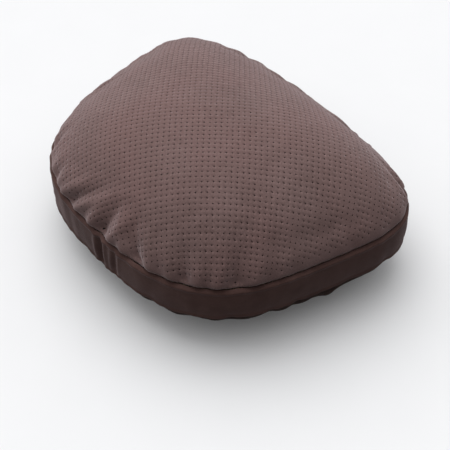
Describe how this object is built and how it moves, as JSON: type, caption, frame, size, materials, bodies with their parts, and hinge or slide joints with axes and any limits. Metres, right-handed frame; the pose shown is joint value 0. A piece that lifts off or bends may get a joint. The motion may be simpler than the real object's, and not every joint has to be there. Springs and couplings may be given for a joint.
{
  "type": "shiatsu neck massager",
  "caption": "Plump cushion with a domed perforated top panel and a plain side band, holding a worm-driven kneading mechanism with rolling heads, a side control panel and a zip.",
  "frame": {"origin": "middle of the flat patch of the rear panel that the cushion rests on", "axes": "+Z towards the massage side, +Y towards the wide edge, which has the zip, and -X towards the side controls"},
  "size_m": [0.3444, 0.2743, 0.136],
  "materials": {
    "suede_mesh": "brushed suede-like microfibre with a square grid of small round holes",
    "suede_plain": "plain brushed suede-like microfibre",
    "rear_cloth": "plain tight woven polyester",
    "wadding": "soft polyester wadding",
    "foam": "open-cell polyurethane foam",
    "zip_tape": "woven zip tape",
    "zip_teeth": "nylon coil",
    "zip_metal": "grey enamelled die-cast zinc",
    "shell_plastic": "fine-textured black ABS",
    "screw_steel": "zinc-plated steel",
    "bronze": "oil-filled sintered bronze",
    "washer_steel": "hardened steel",
    "motor_steel": "zinc-plated drawn steel",
    "motor_plastic": "moulded black nylon",
    "magnet": "dark sintered ferrite",
    "armature": "varnished copper winding on steel laminations",
    "shaft_steel": "ground bright steel",
    "bracket_steel": "grey coated pressed steel",
    "damper_rubber": "soft black rubber",
    "cutout": "cream ceramic-filled thermal cut-out",
    "gear_plastic": "natural acetal",
    "carrier_plastic": "natural glass-filled nylon",
    "arm_plastic": "dark glass-filled nylon",
    "head_rubber": "grey thermoplastic rubber",
    "cap_plastic": "grey ABS",
    "bezel_plastic": "satin black ABS",
    "button_plastic": "semi-gloss dark grey ABS",
    "light_pipe": "clear acrylic light pipe",
    "switch_plastic": "black nylon",
    "plunger_plastic": "white acetal",
    "jack_plastic": "black nylon with a steel centre pin",
    "board": "green solder-masked glass-epoxy board",
    "board_parts": "black moulded electronic parts",
    "lead_insulation": "red PVC-insulated wire"
  },
  "bodies": {
    "cushion": {"front_panel": "suede_mesh", "side_band": "suede_plain", "rear_panel": "rear_cloth", "front_wadding": "wadding", "foam_surround": "foam", "rear_foam": "foam", "zip_tapes": "zip_tape", "zip_coil": "zip_teeth", "rear_shell": "shell_plastic", "front_shell": "shell_plastic", "shell_screws": "screw_steel", "shaft_bushes": "bronze", "thrust_washers": "washer_steel", "motor_can": "motor_steel", "motor_end_cap": "motor_plastic", "motor_magnets": "magnet", "motor_bracket": "bracket_steel", "bracket_screws": "screw_steel", "motor_damper": "damper_rubber", "thermal_cutout": "cutout", "worm_end_bush": "bronze", "side_bezel": "bezel_plastic", "status_light": "light_pipe", "push_switch": "switch_plastic", "dc_jack": "jack_plastic", "control_board": "board", "board_parts": "board_parts", "pod_housing": "shell_plastic", "pod_screws": "screw_steel", "motor_leads": "lead_insulation", "wire_grommet": "damper_rubber"},
    "drive_spindle": {"motor_shaft": "shaft_steel", "motor_armature": "armature", "worm": "gear_plastic"},
    "left_rotor": {"left_gear_ring": "gear_plastic", "left_carrier": "carrier_plastic", "left_output_shaft": "shaft_steel", "left_rotor_arm": "arm_plastic", "left_arm_nut": "screw_steel", "left_head_axles": "shaft_steel"},
    "left_high_head": {"left_high_head": "head_rubber", "left_high_cap": "cap_plastic"},
    "left_low_head": {"left_low_head": "head_rubber", "left_low_cap": "cap_plastic"},
    "right_rotor": {"right_gear_ring": "gear_plastic", "right_carrier": "carrier_plastic", "right_output_shaft": "shaft_steel", "right_rotor_arm": "arm_plastic", "right_arm_nut": "screw_steel", "right_head_axles": "shaft_steel"},
    "right_high_head": {"right_high_head": "head_rubber", "right_high_cap": "cap_plastic"},
    "right_low_head": {"right_low_head": "head_rubber", "right_low_cap": "cap_plastic"},
    "power_button": {"power_button": "button_plastic", "switch_plunger": "plunger_plastic"},
    "zip_slider": {"zip_slider": "zip_metal"},
    "zip_pull": {"zip_pull": "zip_metal"}
  },
  "joints": [
    {"name": "motor_spin", "type": "hinge", "parent": "cushion", "child": "drive_spindle", "pos_m": [0, 0, 0.034], "axis": [0, 1, 0], "continuous": true},
    {"name": "left_rotor_spin", "type": "hinge", "parent": "cushion", "child": "left_rotor", "pos_m": [-0.058, -0.012, 0.034], "axis": [0, 0, 1], "continuous": true},
    {"name": "left_high_head_spin", "type": "hinge", "parent": "left_rotor", "child": "left_high_head", "pos_m": [-0.026, -0.012, 0.08], "axis": [0, 0, 1], "continuous": true},
    {"name": "left_low_head_spin", "type": "hinge", "parent": "left_rotor", "child": "left_low_head", "pos_m": [-0.09, -0.012, 0.08], "axis": [0, 0, 1], "continuous": true},
    {"name": "right_rotor_spin", "type": "hinge", "parent": "cushion", "child": "right_rotor", "pos_m": [0.058, -0.012, 0.034], "axis": [0, 0, 1], "continuous": true},
    {"name": "right_high_head_spin", "type": "hinge", "parent": "right_rotor", "child": "right_high_head", "pos_m": [0.026, -0.012, 0.08], "axis": [0, 0, 1], "continuous": true},
    {"name": "right_low_head_spin", "type": "hinge", "parent": "right_rotor", "child": "right_low_head", "pos_m": [0.09, -0.012, 0.08], "axis": [0, 0, 1], "continuous": true},
    {"name": "power_button_press", "type": "slide", "parent": "cushion", "child": "power_button", "axis": [0.9727, 0.232, 0], "range_m": [0, 0.0015], "stiffness_N_per_m": 500, "springref_m": -0.0006},
    {"name": "zip_slide", "type": "hinge", "parent": "cushion", "child": "zip_slider", "pos_m": [0, -0.8644, 0.053], "axis": [0, 0, 1], "range_deg": [-9.2, 0]},
    {"name": "zip_pull_swing", "type": "hinge", "parent": "zip_slider", "child": "zip_pull", "pos_m": [-0.08062, 0.13756, 0.0546], "axis": [0.9968, 0.0802, 0], "range_deg": [0, 165]}
  ],
  "couplings": [
    {"joint": "motor_spin", "follows": "right_rotor_spin", "ratio": 80},
    {"joint": "left_rotor_spin", "follows": "right_rotor_spin", "ratio": -1}
  ]
}
